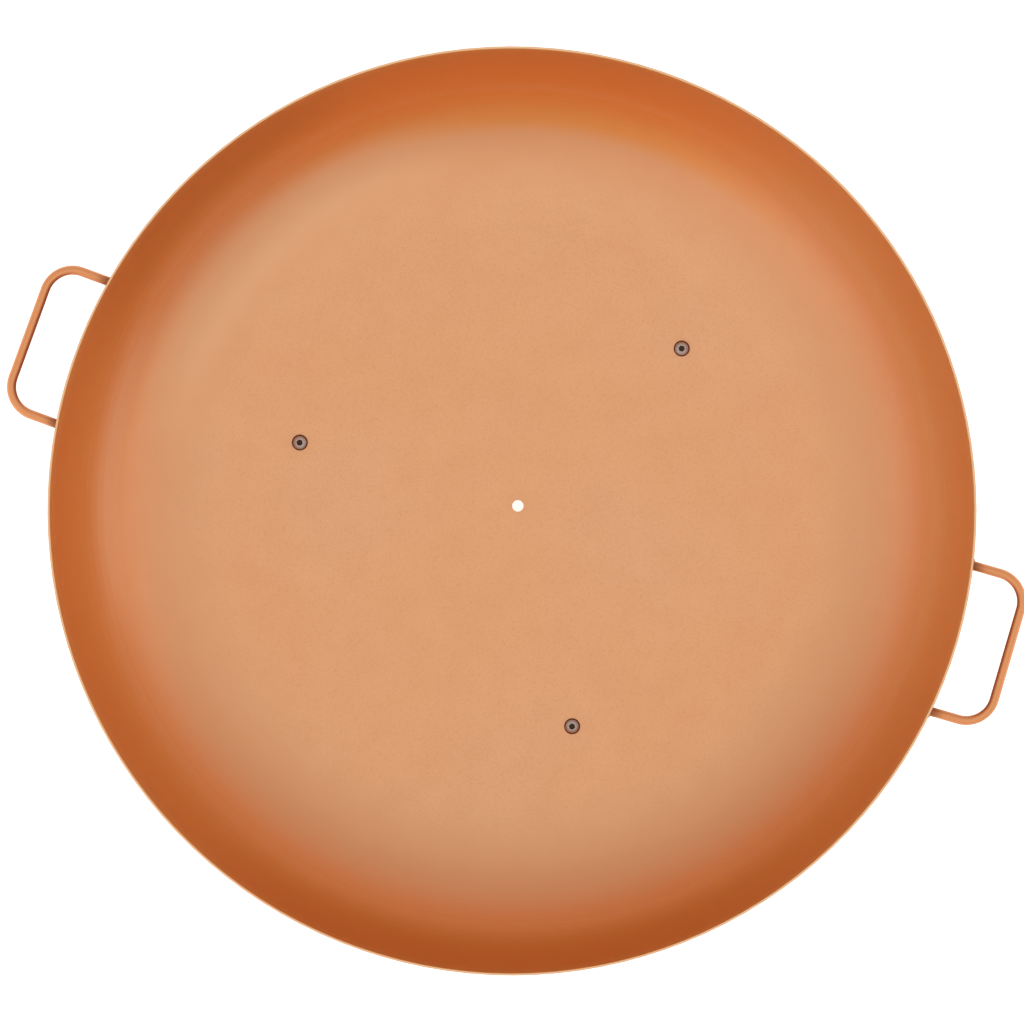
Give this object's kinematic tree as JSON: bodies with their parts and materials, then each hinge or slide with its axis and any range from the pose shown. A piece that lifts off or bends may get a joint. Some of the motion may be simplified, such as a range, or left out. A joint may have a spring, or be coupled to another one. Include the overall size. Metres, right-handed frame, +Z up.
{
  "type": "fire pit",
  "caption": "Round steel fire bowl with a flat floor and drain hole, bent-rod handles and a bolted strip-leg stand with a brace ring.",
  "frame": {"origin": "on the ground, under the centre of the dish", "axes": "+Z up, +X from the dish's centre towards the right handle"},
  "size_m": [0.8992, 0.8, 0.395],
  "materials": {
    "copper_paint": "satin metallic copper heat-resistant paint",
    "stand_paint": "satin metallic copper heat-resistant paint on steel strip",
    "dark_screw": "dull burnished steel with darker edges",
    "zinc": "zinc-plated steel, dull"
  },
  "bodies": {
    "root": {"bowl": "copper_paint", "brace_ring": "stand_paint", "floor_nut_1": "zinc", "floor_nut_2": "zinc", "floor_nut_3": "zinc", "floor_screw_1": "dark_screw", "floor_screw_2": "dark_screw", "floor_screw_3": "dark_screw", "floor_washer_1": "zinc", "floor_washer_2": "zinc", "floor_washer_3": "zinc", "handle_left": "copper_paint", "handle_left_weld_1": "copper_paint", "handle_left_weld_2": "copper_paint", "handle_right": "copper_paint", "handle_right_weld_1": "copper_paint", "handle_right_weld_2": "copper_paint", "leg_1": "stand_paint", "leg_2": "stand_paint", "leg_3": "stand_paint", "ring_nut_1": "zinc", "ring_nut_2": "zinc", "ring_nut_3": "zinc", "ring_screw_1": "zinc", "ring_screw_2": "zinc", "ring_screw_3": "zinc", "ring_washer_1": "zinc", "ring_washer_2": "zinc", "ring_washer_3": "zinc"}
  },
  "joints": []
}
